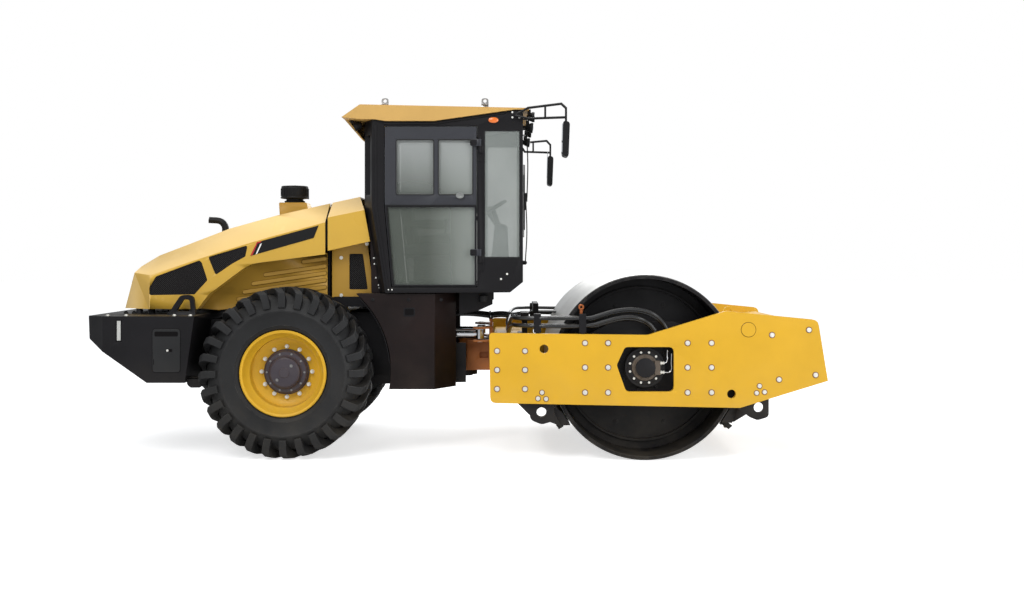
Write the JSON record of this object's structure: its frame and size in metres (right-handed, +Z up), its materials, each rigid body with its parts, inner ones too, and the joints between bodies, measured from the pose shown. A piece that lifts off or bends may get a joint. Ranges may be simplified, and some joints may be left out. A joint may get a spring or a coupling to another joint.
{
  "type": "single drum road roller",
  "caption": "Ride-on soil compactor with a smooth drum in an articulated front frame, a cab, a tilting hood and two driven rubber-tyred rear wheels.",
  "frame": {"origin": "on the ground, at the centre of the machine's length and width", "axes": "+X forwards to the drum, +Y to the machine's left, +Z up"},
  "size_m": [6.4, 2.3003, 3.173],
  "materials": {
    "yellow_paint": "satin",
    "black_paint": "satin",
    "grey_paint": "satin",
    "ochre_paint": "satin",
    "drum_steel": "satin",
    "drum_black": "satin",
    "chrome": "polished",
    "tyre_rubber": "matte",
    "rubber": "matte",
    "engine_grey": "matte",
    "tinted_glass": "polished",
    "seat_fabric": "matte",
    "black_plastic": "satin"
  },
  "bodies": {
    "rear_body": {"rear_frame": "black_paint", "rear_axle": "black_paint", "tank_right": "black_paint", "tank_left": "black_paint", "counterweight": "black_paint", "engine": "engine_grey", "cowl": "yellow_paint", "cab_floor": "black_paint", "cab_side_right": "black_paint", "cab_side_left": "black_paint", "cab_rear": "black_paint", "cab_front": "black_paint", "roof": "yellow_paint", "windshield": "tinted_glass", "rear_window": "tinted_glass", "quarter_glass_right": "tinted_glass", "quarter_glass_left": "tinted_glass", "seat": "seat_fabric", "steering_column": "black_plastic", "mirror_right": "black_plastic", "mirror_left": "black_plastic"},
    "hood": {"hood": "yellow_paint", "hood_grille_right": "black_paint", "hood_grille_left": "black_paint", "precleaner": "black_plastic", "exhaust_elbow": "black_paint"},
    "door_right": {"door_right": "grey_paint", "door_glass_right": "tinted_glass"},
    "door_left": {"door_left": "grey_paint", "door_glass_left": "tinted_glass"},
    "wheel_right": {"tyre_right": "tyre_rubber", "wheel_right": "yellow_paint"},
    "wheel_left": {"tyre_left": "tyre_rubber", "wheel_left": "yellow_paint"},
    "yoke": {"yoke": "ochre_paint", "hoses_rear": "rubber", "hoses_front": "rubber"},
    "steer_barrel_right": {"steer_barrel_right": "black_paint"},
    "steer_rod_right": {"steer_rod_right": "chrome"},
    "steer_barrel_left": {"steer_barrel_left": "black_paint"},
    "steer_rod_left": {"steer_rod_left": "chrome"},
    "front_body": {"side_plate_right": "yellow_paint", "side_plate_left": "yellow_paint", "rear_beam": "yellow_paint", "front_beam": "yellow_paint", "drum_mount_right": "drum_black", "drum_mount_left": "drum_black", "scraper_rear": "black_paint", "scraper_front": "black_paint", "hose_run": "rubber"},
    "drum": {"drum_shell": "drum_steel", "drum_core": "drum_black"}
  },
  "joints": [
    {"name": "steer", "type": "hinge", "parent": "rear_body", "child": "yoke", "pos_m": [0.0825, 0, 0.828], "axis": [0, 0, 1], "range_deg": [-35, 35]},
    {"name": "oscillate", "type": "hinge", "parent": "yoke", "child": "front_body", "pos_m": [0.4, 0, 0.828], "axis": [1, 0, 0], "range_deg": [-10, 10]},
    {"name": "drum_spin", "type": "hinge", "parent": "front_body", "child": "drum", "pos_m": [1.645, 0, 0.8], "axis": [0, 1, 0], "continuous": true},
    {"name": "wheel_right_spin", "type": "hinge", "parent": "rear_body", "child": "wheel_right", "pos_m": [-1.48, -0.84, 0.745], "axis": [0, 1, 0], "continuous": true},
    {"name": "wheel_left_spin", "type": "hinge", "parent": "rear_body", "child": "wheel_left", "pos_m": [-1.48, 0.84, 0.745], "axis": [0, 1, 0], "continuous": true},
    {"name": "door_right_swing", "type": "hinge", "parent": "rear_body", "child": "door_right", "pos_m": [0.2165, -0.8, 2.2], "axis": [0, 0, 1], "range_deg": [0, 90]},
    {"name": "door_left_swing", "type": "hinge", "parent": "rear_body", "child": "door_left", "pos_m": [0.2165, 0.8, 2.2], "axis": [0, 0, -1], "range_deg": [0, 90]},
    {"name": "hood_tilt", "type": "hinge", "parent": "rear_body", "child": "hood", "pos_m": [-1.1965, 0, 2.205], "axis": [0, 1, 0], "range_deg": [0, 40]},
    {"name": "steer_barrel_right_swing", "type": "hinge", "parent": "rear_body", "child": "steer_barrel_right", "pos_m": [-0.6075, -0.36, 1.038], "axis": [0, 0, 1], "range_deg": [-5.26, 5.26]},
    {"name": "steer_rod_right_slide", "type": "slide", "parent": "steer_barrel_right", "child": "steer_rod_right", "axis": [1, 0, 0], "range_m": [-0.2174, 0.2174]},
    {"name": "steer_barrel_left_swing", "type": "hinge", "parent": "rear_body", "child": "steer_barrel_left", "pos_m": [-0.6075, 0.36, 1.038], "axis": [0, 0, 1], "range_deg": [-5.26, 5.26]},
    {"name": "steer_rod_left_slide", "type": "slide", "parent": "steer_barrel_left", "child": "steer_rod_left", "axis": [1, 0, 0], "range_m": [-0.2174, 0.2174]}
  ],
  "couplings": [
    {"joint": "steer_barrel_right_swing", "follows": "steer", "ratio": 0.15},
    {"joint": "steer_rod_right_slide", "follows": "steer", "m_per_rad": 0.355},
    {"joint": "steer_barrel_left_swing", "follows": "steer", "ratio": 0.15},
    {"joint": "steer_rod_left_slide", "follows": "steer", "m_per_rad": -0.355}
  ]
}
